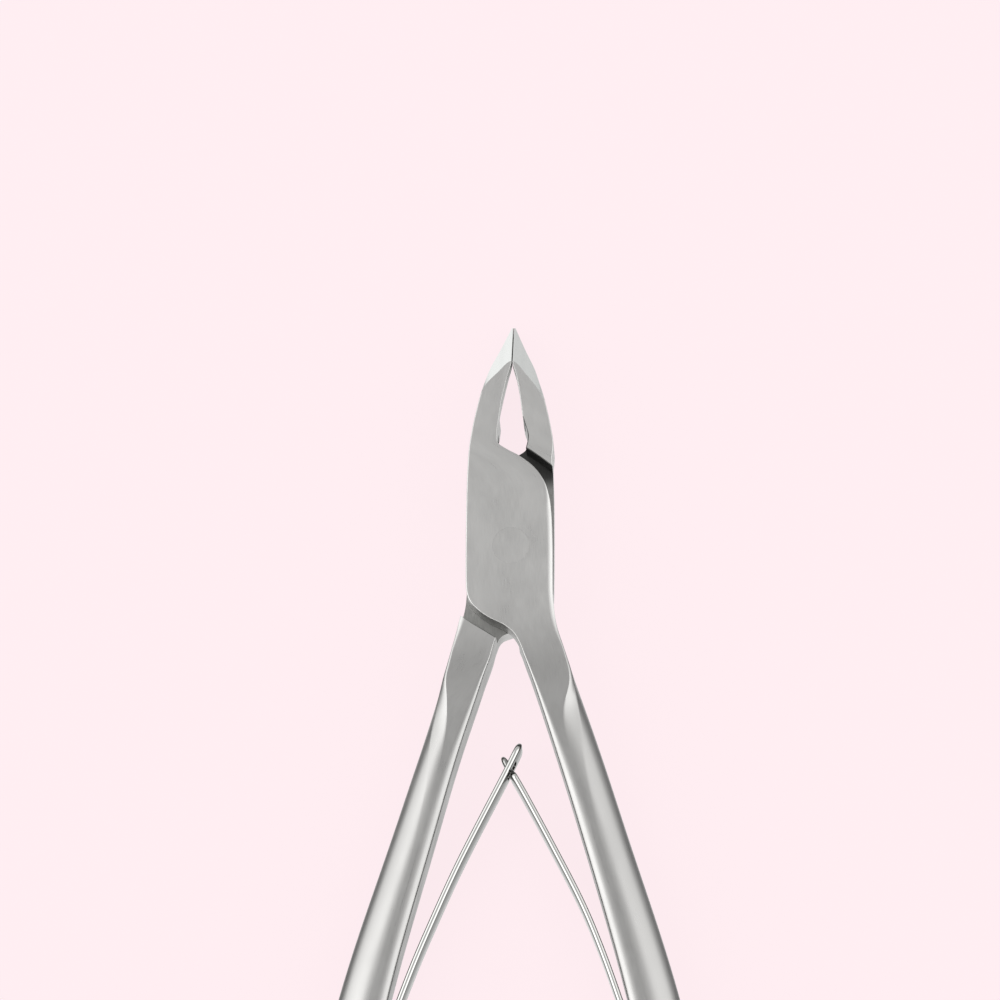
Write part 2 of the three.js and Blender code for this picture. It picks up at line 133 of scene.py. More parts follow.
def grid_mesh(name, rings, uv=None):
    """Closed skin over rings of points (stations x ring x 3, millimetres): quads between rings and
    a flat face at each end. uv holds a second set of coordinates in millimetres for the grain."""
    s, r = rings.shape[:2]
    i, j = np.meshgrid(np.arange(s - 1), np.arange(r), indexing="ij")
    k = (j + 1) % r
    quads = np.stack([i * r + j, i * r + k, (i + 1) * r + k, (i + 1) * r + j], axis=-1).reshape(-1, 4)
    faces = quads.tolist() + [list(range(r))[::-1], list(range((s - 1) * r, s * r))]
    mesh = bpy.data.meshes.new(name)
    mesh.from_pydata((rings.reshape(-1, 3) * MM).tolist(), [], faces)
    if uv is not None:
        layer = mesh.uv_layers.new(name="grain")
        corner = np.stack([np.stack([uv[0][i, j], uv[1][i]], -1), np.stack([uv[0][i, j + 1], uv[1][i]], -1),
                           np.stack([uv[0][i + 1, j + 1], uv[1][i + 1]], -1),
                           np.stack([uv[0][i + 1, j], uv[1][i + 1]], -1)], axis=2).reshape(-1, 2)
        flat = np.zeros((len(mesh.loops), 2))
        flat[:len(corner)] = corner
        layer.data.foreach_set("uv", flat.ravel())
    if mesh_volume(mesh) < 0:
        mesh.flip_normals()
    mesh.validate()
    return mesh


def mesh_volume(mesh):
    """Signed volume of a closed mesh: a sixth of the triple product summed over its triangles."""
    mesh.calc_loop_triangles()
    tri = np.empty(len(mesh.loop_triangles) * 3, np.int32)
    mesh.loop_triangles.foreach_get("vertices", tri)
    co = np.empty(len(mesh.vertices) * 3, np.float32)
    mesh.vertices.foreach_get("co", co)
    p = co.reshape(-1, 3)[tri.reshape(-1, 3)].astype(float)
    return float(np.einsum("ij,ij->i", p[:, 0], np.cross(p[:, 1], p[:, 2])).sum() / 6)


def forged_blank(name, side_a, side_b, crown):
    """Skin strung between the two sides. Each section has a round outer side (half an ellipse cut
    off at the two flat faces), a flat inner side, and elliptical corners between flat and inner side."""
    per_knot = 14
    t = np.linspace(0, len(side_a) - 1, (len(side_a) - 1) * per_knot + 1)
    a, b = spline(side_a, t), spline(side_b, t)
    handle = np.clip((t - 24) / 3, 0, 1)[:, None]
    a = a + (faired(a, 9.0) - a) * handle
    b = b + (faired(b, 9.0) - b) * handle
    y = (a[:, 1] + b[:, 1]) / 2
    crown_share = np.clip(faired(np.interp(y, *crown), 2.5), 0.003, 0.697)
    corner_x = faired(np.interp(y, *CORNER_X), 6.0)
    corner_z = faired(np.interp(y, *CORNER_Z), 6.0)
    facets = [faired(np.interp(y, *table), 3.0) for table in (FACET_FLAT, FACET_SIDE, FACET_ROUND)]

    angle = np.radians(np.linspace(4, 88, 22))
    axis = np.array([b[-1, 1] - a[-1, 1], a[-1, 0] - b[-1, 0]])
    axis /= np.linalg.norm(axis)
    shift = END_LENGTH * np.sin(angle)[:, None] * axis
    a, b = np.vstack([a, a[-1] + shift]), np.vstack([b, b[-1] + shift])
    scale = np.concatenate([np.ones(len(t)), np.cos(angle)])
    tables = (crown_share, corner_x, corner_z, *facets)
    crown_share, corner_x, corner_z, on_flat, on_side, roundness = (
        np.concatenate([v, np.full(len(angle), v[-1])])[:, None] for v in tables)

    width = np.linalg.norm(b - a, axis=1)[:, None]
    reach = CROWN_SHARE * width
    limit = np.arccos(1 - crown_share / CROWN_SHARE)
    height = MID / np.sin(limit)
    speed = np.sqrt((reach * np.sin(limit)) ** 2 + (height * np.cos(limit)) ** 2)
    stop = limit - np.minimum(on_side / speed, 0.5 * limit)
    arc = stop * np.linspace(-1, 1, 41)[None, :]
    arc_s, arc_z = width - reach + reach * np.cos(arc), height * np.sin(arc)
    corner_s = width - reach + reach * np.cos(limit)
    u = np.linspace(0, 1, 8)[None, 1:]
    end_s = corner_s - np.minimum(on_flat, 0.3 * width)
    pull_s = roundness * corner_s + (1 - roundness) * (arc_s[:, -1:] + end_s) / 2
    pull_z = roundness * MID + (1 - roundness) * (arc_z[:, -1:] + MID) / 2
    blend_s = (1 - u) ** 2 * arc_s[:, -1:] + 2 * u * (1 - u) * pull_s + u ** 2 * end_s
    blend_z = (1 - u) ** 2 * arc_z[:, -1:] + 2 * u * (1 - u) * pull_z + u ** 2 * MID
    v = np.array([[0.03, 0.27, 0.5, 0.73, 0.97, 1.0]])
    corner_x = np.minimum(corner_x, 0.3 * width)
    flat_s = end_s + (corner_x - end_s) * v
    turn = np.radians(np.linspace(90, 180, 10))[None, 1:]
    soft_s = corner_x * (1 + np.cos(turn))
    soft_z = MID - corner_z + corner_z * np.sin(turn)
    top_s = np.hstack([blend_s, flat_s, soft_s])
    top_z = np.hstack([blend_z, np.full_like(flat_s, MID), soft_z])
    w = np.linspace(1, -1, 6)[None, 1:-1]
    ring_s = np.hstack([arc_s, top_s, np.zeros((len(width), 4)), top_s[:, ::-1]])
    ring_z = np.hstack([arc_z, top_z, (MID - corner_z) * w, -top_z[:, ::-1]])
    along = np.concatenate([t - t[-1], np.ones(len(angle))])
    oval = OVAL_END * np.clip(1 + along / OVAL_KNOTS, 0, 1)[:, None] ** 2
    way = np.arctan2(ring_z / MID, (ring_s - width / 2) / (width / 2))
    ring_s = (1 - oval) * ring_s + oval * width / 2 * (1 + np.cos(way))
    ring_z = (1 - oval) * ring_z + oval * MID * np.sin(way)
    ring_s = width / 2 + (ring_s - width / 2) * scale[:, None]
    ring_z = ring_z * scale[:, None]
    share = (ring_s / width)[:, :, None]
    plan = a[:, None, :] * (1 - share) + b[:, None, :] * share
    rings = np.concatenate([plan, (MID + ring_z)[:, :, None]], axis=2)
    closed = np.concatenate([rings, rings[:, :1]], axis=1)
    around = np.concatenate([np.zeros((len(rings), 1)),
                             np.cumsum(np.linalg.norm(np.diff(closed, axis=1), axis=2), axis=1)], axis=1)
    centre = (a + b) / 2
    length = np.concatenate([[0], np.cumsum(np.linalg.norm(np.diff(centre, axis=0), axis=1))])
    return grid_mesh(name, rings, (around, length))


def prism(name, outline, levels, place=None):
    """A flat outline (n x 2) carried through levels of (height, outward offset). place maps the
    whole shape, so it can be sheared or turned. Used only as a cutter."""
    p = np.asarray(outline, float)
    if np.sum(p[:, 0] * np.roll(p[:, 1], -1) - np.roll(p[:, 0], -1) * p[:, 1]) < 0:
        p = p[::-1]
    before, after = p - np.roll(p, 1, axis=0), np.roll(p, -1, axis=0) - p
    n0 = np.stack([before[:, 1], -before[:, 0]], 1) / np.linalg.norm(before, axis=1)[:, None]
    n1 = np.stack([after[:, 1], -after[:, 0]], 1) / np.linalg.norm(after, axis=1)[:, None]
    mitre = (n0 + n1) / (1 + np.sum(n0 * n1, axis=1))[:, None]
    rings = np.stack([np.column_stack([p + mitre * grow, np.full(len(p), z)]) for z, grow in levels])
    if place is not None:
        rings = rings @ np.asarray(place)[:3, :3].T + np.asarray(place)[:3, 3]
    return grid_mesh(name, rings)


def turned(name, profile, place=None, segments=96):
    """Surface of revolution about Z: profile is a row of (radius, height) points, first and last
    with a small radius, closed there by a flat face."""
    a = np.linspace(0, 2 * np.pi, segments, endpoint=False)
    p = np.asarray(profile, float)
    heights = np.repeat(p[:, 1:], segments, axis=1)
    rings = np.stack([p[:, :1] * np.cos(a), p[:, :1] * np.sin(a), heights], axis=2)
    if place is not None:
        rings = rings @ np.asarray(place)[:3, :3].T + np.asarray(place)[:3, 3]
    return grid_mesh(name, rings)


def carved(name, blank, cutters, sharp_deg=24):
    """The blank with each cutter taken away. Cut faces take the cutter's own material."""
    piece = bpy.data.objects.new(name, blank)
    bpy.context.scene.collection.objects.link(piece)
    tools = []
    for mesh in cutters:
        tool = bpy.data.objects.new("cutter", mesh)
        bpy.context.scene.collection.objects.link(tool)
        cut = piece.modifiers.new("cut", "BOOLEAN")
        cut.operation, cut.solver, cut.object = "DIFFERENCE", "EXACT", tool
        cut.material_mode = "TRANSFER"
        tools.append(tool)
    finished = bpy.data.meshes.new_from_object(piece.evaluated_get(bpy.context.evaluated_depsgraph_get()))
    piece.modifiers.clear()
    piece.data = finished
    finished.name = name
    for tool in tools:
        bpy.data.objects.remove(tool)
    finished.shade_smooth()
    finished.set_sharp_from_angle(angle=np.radians(sharp_deg))
    return piece


def linear(hex_colour):
    """sRGB hex to linear RGBA."""
    c = np.array([int(hex_colour[i:i + 2], 16) for i in (1, 3, 5)]) / 255
    return (*np.where(c <= 0.04045, c / 12.92, ((c + 0.055) / 1.055) ** 2.4), 1.0)


def node(tree, kind, links=(), **settings):
    """Adds one node. settings name its properties or, as in_NAME, its sockets; links are pairs of
    (own socket, source socket)."""
    n = tree.nodes.new(kind)
    for key, value in settings.items():
        if key.startswith("in_"):
            n.inputs[key[3:].replace("_", " ")].default_value = value
        else:
            setattr(n, key, value)
    for socket, source in links:
        tree.links.new(source, n.inputs[socket])
    return n


def steel(name, colour, roughness, spread=0.05, grain=(8.0, 0.5), scratch=0.06, bump=0.012, use_uv=False):
    """Bare stainless steel. Fine marks run along the surface: grain is how many marks there are to
    a millimetre across and along them. They shift the roughness and colour a little and leave a
    shallow relief. use_uv follows the forging's own length, otherwise the tool's long axis."""
    m = bpy.data.materials.new(name)
    m.use_nodes = True
    t = m.node_tree
    shader = t.nodes["Principled BSDF"]
    shader.inputs["Metallic"].default_value = 1.0
    place = node(t, "ShaderNodeUVMap", uv_map="grain").outputs["UV"] if use_uv else \
        node(t, "ShaderNodeTexCoord").outputs["Object"]
    per = 1.0 if use_uv else 1 / MM
    marks = node(t, "ShaderNodeMapping", [("Vector", place)],
                 in_Scale=(grain[0] * per, grain[1] * per, grain[0] * per))
    fine = node(t, "ShaderNodeTexNoise", [("Vector", marks.outputs["Vector"])],
                in_Scale=1.0, in_Detail=3.0, in_Roughness=0.6)
    slow = node(t, "ShaderNodeMapping", [("Vector", place)], in_Scale=(0.35 * per, 0.18 * per, 0.35 * per))
    cloud = node(t, "ShaderNodeTexNoise", [("Vector", slow.outputs["Vector"])], in_Scale=1.0, in_Detail=2.0)
    mixed = node(t, "ShaderNodeMath", [(0, fine.outputs["Fac"]), (1, cloud.outputs["Fac"])],
                 operation="ADD")
    rough = node(t, "ShaderNodeMapRange", [("Value", mixed.outputs[0])], in_From_Min=0.7, in_From_Max=1.3,
                 in_To_Min=roughness - spread, in_To_Max=roughness + spread)
    t.links.new(rough.outputs["Result"], shader.inputs["Roughness"])
    ramp = node(t, "ShaderNodeMapRange", [("Value", fine.outputs["Fac"])], in_From_Min=0.3, in_From_Max=0.7,
                in_To_Min=0.0, in_To_Max=1.0)
    base = np.array(linear(colour))
    tint = node(t, "ShaderNodeMix", [("Factor", ramp.outputs["Result"])], data_type="RGBA")
    tint.inputs[6].default_value = (*(base[:3] * (1 - scratch)), 1)
    tint.inputs[7].default_value = (*np.minimum(base[:3] * (1 + scratch), 1), 1)
    t.links.new(tint.outputs[2], shader.inputs["Base Color"])
    relief = node(t, "ShaderNodeBump", [("Height", fine.outputs["Fac"])],
                  in_Strength=bump * 10, in_Distance=0.02 * MM)
    t.links.new(relief.outputs["Normal"], shader.inputs["Normal"])
    return m


# Satin: tumbled and brushed along the handle, a soft even sheen with no mirror image.
satin = steel("stainless_steel_satin_brushed", "#CBCAC9", 0.32, grain=(11.0, 0.6),
              scratch=0.018, bump=0.004, use_uv=True)
# Bevels: ground and polished, brighter than the rest, with faint grinding lines.
polished = steel("stainless_steel_polished_bevel", "#ECEEED", 0.14, spread=0.03, grain=(5.0, 0.6),
                 scratch=0.03, bump=0.006)
# Milled faces of the lap: left as cut, duller than the satin outside. Their darker grey is painted
# shade for the recess, and the corner next to the jaw is darkened further with painted shade for the deep
# gap.
milled_painted_shade = steel("stainless_steel_milled_lap_painted_shade", "#9C9C9A", 0.38, grain=(6.0, 1.0), scratch=0.12)


def darken_along(material, factor, bright_y, dark_y):
    """Multiplies the base colour by factor along the tool, fading in from bright_y to dark_y (mm)."""
    t = material.node_tree
    shader = t.nodes["Principled BSDF"]
    undarkened = shader.inputs["Base Color"].links[0].from_socket
    place = node(t, "ShaderNodeSeparateXYZ", [("Vector", node(t, "ShaderNodeTexCoord").outputs["Object"])])
    share = node(t, "ShaderNodeMapRange", [("Value", place.outputs["Y"])], in_From_Min=bright_y * MM,
                 in_From_Max=dark_y * MM, in_To_Min=1.0, in_To_Max=factor, interpolation_type="SMOOTHSTEP")
    scaled = node(t, "ShaderNodeVectorMath", [(0, undarkened), (1, share.outputs["Result"])],
                  operation="MULTIPLY")
    t.links.new(scaled.outputs[0], shader.inputs["Base Color"])


# Painted shade: from 7.8 mm to 9.8 mm up the tool the milled faces darken to 0.22 of their colour, for the
# deep gap next to the jaw.
darken_along(milled_painted_shade, 0.22, 7.8, 9.8)
# Down the handles the satin is a little darker, fading in from 5 mm to 17 mm below the pivot.
darken_along(satin, 0.74, -5.0, -17.0)
# Hollow inside of the jaws: ground, half bright. The half-bright grey is painted shade for the hollow
# between the jaws.
ground = steel("stainless_steel_ground_hollow_painted_shade", "#969794", 0.28, grain=(7.0, 0.8), bump=0.004)

# Outline of the lap recess: a curved shoulder and scallop below the jaw, and a straight shoulder
# above the handle.
UPPER_SHOULDER = [[-9, 7.6], [-4.9, 10.4], [-3.7, 11.35], [-2.5, 12.2], [-1.8, 12.65]]
SCALLOP_KNOTS = np.array([[-1.8, 12.65], [-2.02, 13.6], [-2.05, 14.4], [-1.8, 15.3], [-1.3, 16.9]])
SCALLOP = spline(SCALLOP_KNOTS, np.linspace(0, 4, 13))
RECESS = [*UPPER_SHOULDER[:-1], *SCALLOP.tolist(), [9, 16.9], [9, -7.05], [6.1, -9.05], [5.0, -9.8],
          [2.0, -11.65], [1.1, -12.2], [-9, -12.2]]
# Where the bevels of both jaws meet the front face.
BEVEL_LINE = spline(np.array([[-6, 17.0], [-4, 19.5], [-3.3, 20.9], [-1.8, 22.5], [0, HEEL_Y],
                              [1.8, 22.2], [3.4, 20.1], [4, 19.1], [6, 16.6]]), np.linspace(0, 8, 97))
CHAMFER = 0.1
SEAT_ANGLE = np.radians(11.3)
SEAT_ORIGIN = np.array([17.0, -67.5, MID])
SEAT_DEPTH = 0.45
FOOT_LENGTH = 10.0
TAP_R, TAP_DEPTH = 0.95, 4.2
SEAT_FRAME = np.eye(4)
SEAT_FRAME[:3, 0] = [np.sin(SEAT_ANGLE), -np.cos(SEAT_ANGLE), 0]
SEAT_FRAME[:3, 1] = [0, 0, -1]
SEAT_FRAME[:3, 2] = [np.cos(SEAT_ANGLE), np.sin(SEAT_ANGLE), 0]
SEAT_FRAME[:3, 3] = SEAT_ORIGIN
TURN_OVER = np.diag([-1.0, 1.0, -1.0, 1.0])
TURN_OVER[2, 3] = THICK


def with_material(mesh, material):
    mesh.materials.append(material)
    return mesh


def jaw_cutters():
    """Bevel, hollow and rear taper, the same for both jaws. The bevel is a curved line carried along
    the fall of the cutting edges. The hollow is a wedge that widens towards the rear."""
    shear = np.eye(4)
    shear[1, 2], shear[1, 3] = -EDGE_SLOPE, EDGE_SLOPE * THICK
    bevel = prism("bevel", [*BEVEL_LINE.tolist(), [6, 50], [-6, 50]], [(-1, 0), (THICK + 1, 0)], shear)
    half, land = EDGE_GAP + HOLLOW_SLOPE * (HOLLOW_DEPTH - EDGE_LAND), THICK - EDGE_LAND
    hone, top = THICK - HONE_DEPTH, EDGE_GAP + HONE_SLOPE * (HONE_DEPTH + 0.5)
    bottom = THICK - HOLLOW_DEPTH
    wedge = [[-EDGE_GAP, land], [-half, bottom], [half, bottom], [EDGE_GAP, land],
             [EDGE_GAP, hone], [top, THICK + 0.5], [-top, THICK + 0.5], [-EDGE_GAP, hone]]
    lay = np.array([[-1, 0, 0, 0], [0, 0, 1, HOLLOW_END],
                    [0, 1, -1 / EDGE_SLOPE, (HEEL_Y - HOLLOW_END) / EDGE_SLOPE], [0, 0, 0, 1]], float)
    hollow = prism("hollow", wedge, [(0, 0), (36 - HOLLOW_END, 0)], lay)
    run = 30.0
    side_view = [[TAPER_START, 0], [TAPER_START + run, run * TAPER_RISE], [TAPER_START + run, -2],
                 [TAPER_START, -2]]
    across_jaws = np.array([[0, 0, 1, 0], [1, 0, 0, 0], [0, 1, 0, 0], [0, 0, 0, 1]])
    taper = prism("taper", side_view, [(-7, 0), (7, 0)], across_jaws)
    return [with_material(bevel, polished), with_material(hollow, ground), with_material(taper, satin)]


RIVET_R, RIVET_HEAD_R, RIVET_HEAD_H, RIVET_GAP = 1.6, 2.3, 0.9, 0.006


def rivet_hole():
    """Clearance hole of the pivot with a countersink at each face."""
    head, pin = RIVET_HEAD_R + RIVET_GAP, RIVET_R + RIVET_GAP
    profile = [[0.01, -1], [head, -1], [head, 0], [pin, RIVET_HEAD_H],
               [pin, THICK - RIVET_HEAD_H], [head, THICK], [head, THICK + 1], [0.01, THICK + 1]]
    return with_material(turned("hole", profile), milled_painted_shade)


def handle_cutters(place):
    """Lap recess with a small chamfer where it meets the outer face, the flat spring seat, and the
    screw hole."""
    mouth = CHAMFER + 0.05
    recess = prism("recess", RECESS, [(-1, mouth), (-0.05, mouth), (CHAMFER, 0), (MID + LAP_GAP / 2, 0)],
                   place)
    box = [[-6.5, -4.5], [FOOT_LENGTH + 0.6, -4.5], [FOOT_LENGTH + 0.6, 4.5], [-6.5, 4.5]]
    seat = prism("seat", box, [(SEAT_DEPTH - 4, 0), (SEAT_DEPTH, 0)], place @ SEAT_FRAME)
    hole_at = np.eye(4)
    hole_at[0, 3] = FOOT_LENGTH / 2
    bore = [[0.01, -1], [TAP_R, -1], [TAP_R, SEAT_DEPTH + TAP_DEPTH], [0.01, SEAT_DEPTH + TAP_DEPTH + 0.4]]
    hole = turned("tap", bore, place @ SEAT_FRAME @ hole_at, 32)
    return [with_material(recess, milled_painted_shade), with_material(seat, ground), with_material(hole, milled_painted_shade)]


def lever(name, side_a, side_b, crown, place):
    blank = forged_blank(name, side_a, side_b, crown)
    blank.transform(Matrix(np.vstack([np.hstack([place[:3, :3], place[:3, 3:] * MM]), [[0, 0, 0, 1]]])))
    blank.materials.append(satin)
    return carved(name, blank, handle_cutters(place) + jaw_cutters() + [rivet_hole()])


front = lever("front_lever_forging", SIDE_A, SIDE_B, FRONT_CROWN, np.eye(4))
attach(front, "front_lever_body")
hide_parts("front_lever")
rear = lever("rear_lever_forging", REAR_A, REAR_B, REAR_CROWN, TURN_OVER)
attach(rear, "rear_lever_body")
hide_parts("rear_lever")

# ---------------------------------------------------------------------------------------------
# The pivot rivet. A steel pin through both plates, headed into the two countersinks and ground
# flush with the faces, so that on the front it hardly shows.
# ---------------------------------------------------------------------------------------------
rivet_steel = steel("stainless_steel_rivet_ground_flush", "#CAC9C8", 0.32, grain=(11.0, 0.6),
                    scratch=0.018, bump=0.004)
EDGE = 0.008
RIVET_PROFILE = [[0.05, 0], [RIVET_HEAD_R - EDGE, 0], [RIVET_HEAD_R, EDGE], [RIVET_R, RIVET_HEAD_H],
                 [RIVET_R, THICK - RIVET_HEAD_H], [RIVET_HEAD_R, THICK - EDGE],
                 [RIVET_HEAD_R - EDGE, THICK], [0.05, THICK]]
rivet = carved("pivot_rivet_pin", with_material(turned("pivot_rivet_pin", RIVET_PROFILE), rivet_steel), [])
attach(rivet, "front_lever_body")
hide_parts("pivot_rivet")

# ---------------------------------------------------------------------------------------------
# The two leaf springs. Each is a bowed strip of hardened spring steel, polished, with rounded
# edges. The right one ends in a narrow tongue that passes through a slot in the left one.
# ---------------------------------------------------------------------------------------------
LEAF_THICK = 0.75
LEAF_HALF = 2.6
END_ROUND = 1.6
TONGUE_HALF = 0.9
SLOT_HALF, SLOT_CORNER = 1.2, 0.5
SLOT_LEAN = np.radians(25.8)
HOOK = (0.16, -27.83)      # where the tongue crosses the slotted leaf, in the slotted leaf's own frame
FOOT_END = SEAT_ORIGIN[:2] + FOOT_LENGTH * SEAT_FRAME[:2, 0]
TONGUE_PATH = np.array([[-1.05, -26.25], [0.5, -29.0], [1.26, -30.3], [5.25, -37.7], [9.15, -45.4],
                        [11.6, -51.4], [14.0, -58.2], [15.7, -63.0], [16.47, -65.5], [17.0, -67.5],
                        FOOT_END])
SLOT_PATH = np.array([[-1.3, -24.8], [0.38, -28.3], [1.03, -29.6], [6.33, -40.2], [9.78, -48.0],
                      [11.72, -52.7], [13.85, -58.4], [15.55, -63.1], [16.47, -65.5], [17.0, -67.5],
                      FOOT_END])
spring_steel = steel("spring_steel_polished_painted_face_shade", "#D0D0CE", 0.07, spread=0.015, grain=(9.0, 0.4),
                     scratch=0.03, bump=0.002)


def paint_face_shade(material, factor, glancing):
    """Painted shade: darkens the broad faces and their glancing reflections, and leaves the ground edges
    bright.
    The change comes where the height above or below the middle of the strip nears the edge."""
    t = material.node_tree
    shader = t.nodes["Principled BSDF"]
    height = node(t, "ShaderNodeSeparateXYZ", [("Vector", node(t, "ShaderNodeTexCoord").outputs["Object"])])
    off = node(t, "ShaderNodeMath", [(0, height.outputs["Z"])], operation="SUBTRACT")
    off.inputs[1].default_value = MID * MM
    off = node(t, "ShaderNodeMath", [(0, off.outputs[0])], operation="ABSOLUTE")
    for socket, low in (("Base Color", factor), ("Specular Tint", glancing)):
        share = node(t, "ShaderNodeMapRange", [("Value", off.outputs[0])],
                     in_From_Min=(LEAF_HALF - 0.40) * MM, in_From_Max=(LEAF_HALF - 0.25) * MM,
                     in_To_Min=low, in_To_Max=1.0)
        undarkened = shader.inputs[socket].links
        start = [(0, undarkened[0].from_socket)] if undarkened else []
        scaled = node(t, "ShaderNodeVectorMath", start + [(1, share.outputs["Result"])],
                      operation="MULTIPLY")
        if not undarkened:
            scaled.inputs[0].default_value = (1, 1, 1)
        t.links.new(scaled.outputs[0], shader.inputs[socket])


# Painted shade on the broad faces of the leaves: colour down to 0.55, glancing tint down to 0.62, edges
# left bright.
paint_face_shade(spring_steel, 0.55, 0.62)


def leaf(name, path, half_width, place, cutters=()):
    """A rounded rectangle carried along the path. half_width gives half the strip's width at a
    distance from the free end, where the thickness also rounds off as an ellipse. The corners of the
    section are quarter circles."""
    line = spline(path, np.linspace(0, len(path) - 1, 401))
    step = np.concatenate([[0], np.cumsum(np.linalg.norm(np.diff(line, axis=0), axis=1))])
    even = np.concatenate([np.linspace(0, 1.0, 14) ** 1.6 * 2.6, np.linspace(2.6, step[-1], 170)[1:]])
    even[0] = 0.004
    line = np.stack([np.interp(even, step, line[:, k]) for k in (0, 1)], axis=1)
    line = np.vstack([line[:14], faired(line, 2.0)[14:]])
    tangent = np.gradient(line, axis=0)
    tangent /= np.linalg.norm(tangent, axis=1)[:, None]
    normal = np.stack([-tangent[:, 1], tangent[:, 0]], axis=1)
    half = half_width(even, step[-1])
    thin = LEAF_THICK / 2 * np.sqrt(np.clip(1 - (1 - np.clip(even / 0.9, 0, 1)) ** 2, 0.02, 1))[:, None]
    radius = np.minimum(np.minimum(0.34, half * 0.9)[:, None], thin * 0.95)
    a = np.radians(np.concatenate([np.linspace(q, q + 90, 6) for q in (0, 90, 180, 270)]))
    sign_u = np.repeat([1, -1, -1, 1], 6)
    sign_v = np.repeat([1, 1, -1, -1], 6)
    u = sign_u * (thin - radius) + radius * np.cos(a)
    v = sign_v * (half[:, None] - radius) + radius * np.sin(a)
    plan = line[:, None, :] + normal[:, None, :] * u[:, :, None]
    rings = np.concatenate([plan, (MID + v)[:, :, None]], axis=2)
    mesh = grid_mesh(name, rings)
    mesh.transform(Matrix(np.vstack([np.hstack([place[:3, :3], place[:3, 3:] * MM]), [[0, 0, 0, 1]]])))
    mesh.materials.append(spring_steel)
    return carved(name, mesh, [with_material(c, spring_steel) for c in cutters], 50)


def foot_round(d, total):
    """Quarter-round corners at the foot end, 1.2 mm in radius."""
    left = np.clip((total - d) / 1.2, 0, 1)
    return 1.2 * (1 - np.sqrt(1 - (1 - left) ** 2))


def tongue_width(d, total):
    """Round-ended tongue that widens to the full strip over a smooth shoulder."""
    tip = TONGUE_HALF * np.sqrt(np.clip(1 - (1 - np.clip(d / TONGUE_HALF, 0, 1)) ** 2, 1e-4, 1))
    s = np.clip((d - 2.45) / 0.65, 0, 1)
    return tip + (LEAF_HALF - TONGUE_HALF) * s * s * (3 - 2 * s) - foot_round(d, total)


def slot_end_width(d, total):
    """End of the slotted leaf, with quarter-round corners."""
    left = np.clip(d / END_ROUND, 0, 1)
    return LEAF_HALF - END_ROUND * (1 - np.sqrt(1 - (1 - left) ** 2)) - foot_round(d, total)


def slot_cutter(place):
    """Square hole for the tongue, with rounded corners."""
    half, r = SLOT_HALF, SLOT_CORNER
    a = np.radians(np.linspace(0, 90, 7))
    quarters = ((0, 1, 1), (np.pi / 2, -1, 1), (np.pi, -1, -1), (1.5 * np.pi, 1, -1))
    outline = np.vstack([np.column_stack([sx * (half - r) + r * np.cos(a + q),
                                          sy * (half - r) + r * np.sin(a + q)]) for q, sx, sy in quarters])
    at = np.eye(4)
    at[:3, 0] = [-np.sin(SLOT_LEAN), np.cos(SLOT_LEAN), 0]
    at[:3, 1] = [0, 0, 1]
    at[:3, 2] = np.cross(at[:3, 0], at[:3, 1])
    at[:3, 3] = [*HOOK, MID]
    return prism("slot", outline, [(-1.5, 0), (1.5, 0)], place @ at)


right_leaf = leaf("right_leaf_with_tongue", TONGUE_PATH, tongue_width, np.eye(4))
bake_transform(right_leaf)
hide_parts("right_spring_leaf")
left_leaf = leaf("left_leaf_with_slot", SLOT_PATH, slot_end_width, TURN_OVER, [slot_cutter(TURN_OVER)])
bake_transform(left_leaf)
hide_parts("left_spring_leaf")

# ---------------------------------------------------------------------------------------------
# The two spring screws. Small slotted cheese-head screws, turned and polished. Each one holds the
# foot of a leaf on the flat seat inside its handle.
# ---------------------------------------------------------------------------------------------
screw_steel = steel("stainless_steel_turned_screw", "#BFC0BD", 0.2, grain=(6.0, 2.0))
HEAD_BASE = SEAT_DEPTH - 0.05 - LEAF_THICK - 0.05
HEAD_R, HEAD_H, SHANK_R = 1.5, 0.9, 0.9


def screw(name, place):
    """Turned profile with a slightly crowned top and a rounded rim, then a straight slot."""
    a = np.radians(np.linspace(90, 0, 9))
    top = HEAD_BASE - HEAD_H
    rim = np.column_stack([HEAD_R - 0.28 + 0.28 * np.cos(a), top + 0.28 - 0.28 * np.sin(a)])
    crown = np.array([[0.03, top - 0.10], [0.4, top - 0.09], [0.8, top - 0.05]])
    shank = [[HEAD_R, HEAD_BASE], [SHANK_R, HEAD_BASE],
             [SHANK_R, SEAT_DEPTH + 3.6], [0.5, SEAT_DEPTH + 4.0]]
    profile = np.vstack([crown, rim, shank])
    at = np.eye(4)
    at[0, 3] = FOOT_LENGTH / 2
    body = with_material(turned(name, profile, place @ SEAT_FRAME @ at, 64), screw_steel)
    turn = np.radians(28)
    spin = np.eye(4)
    spin[:2, :2] = [[np.cos(turn), -np.sin(turn)], [np.sin(turn), np.cos(turn)]]
    blade = [[-2, -0.2], [2, -0.2], [2, 0.2], [-2, 0.2]]
    slot = prism("slot", blade, [(top - 1, 0), (top + 0.42, 0)], place @ SEAT_FRAME @ at @ spin)
    return carved(name, body, [with_material(slot, screw_steel)], 35)


right_screw = screw("right_spring_screw_slotted", np.eye(4))
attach(right_screw, "front_lever_body")
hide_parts("right_spring_screw")
left_screw = screw("left_spring_screw_slotted", TURN_OVER)
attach(left_screw, "rear_lever_body")
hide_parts("left_spring_screw")

# ---------------------------------------------------------------------------------------------
# The studio: a plain pale floor that the tool lies on, two soft side lights, and a sky that is
# bright at the sides and grey overhead.
# ---------------------------------------------------------------------------------------------
PALE_PINK = "#FDECF0"


def stage_mesh(name, verts, faces, material, **seen_by):
    mesh = bpy.data.meshes.new(name)
    mesh.from_pydata(verts, [], faces)
    mesh.materials.append(material)
    thing = bpy.data.objects.new(name, mesh)
    bpy.context.scene.collection.objects.link(thing)
    for flag, value in seen_by.items():
        setattr(thing, "visible_" + flag, value)


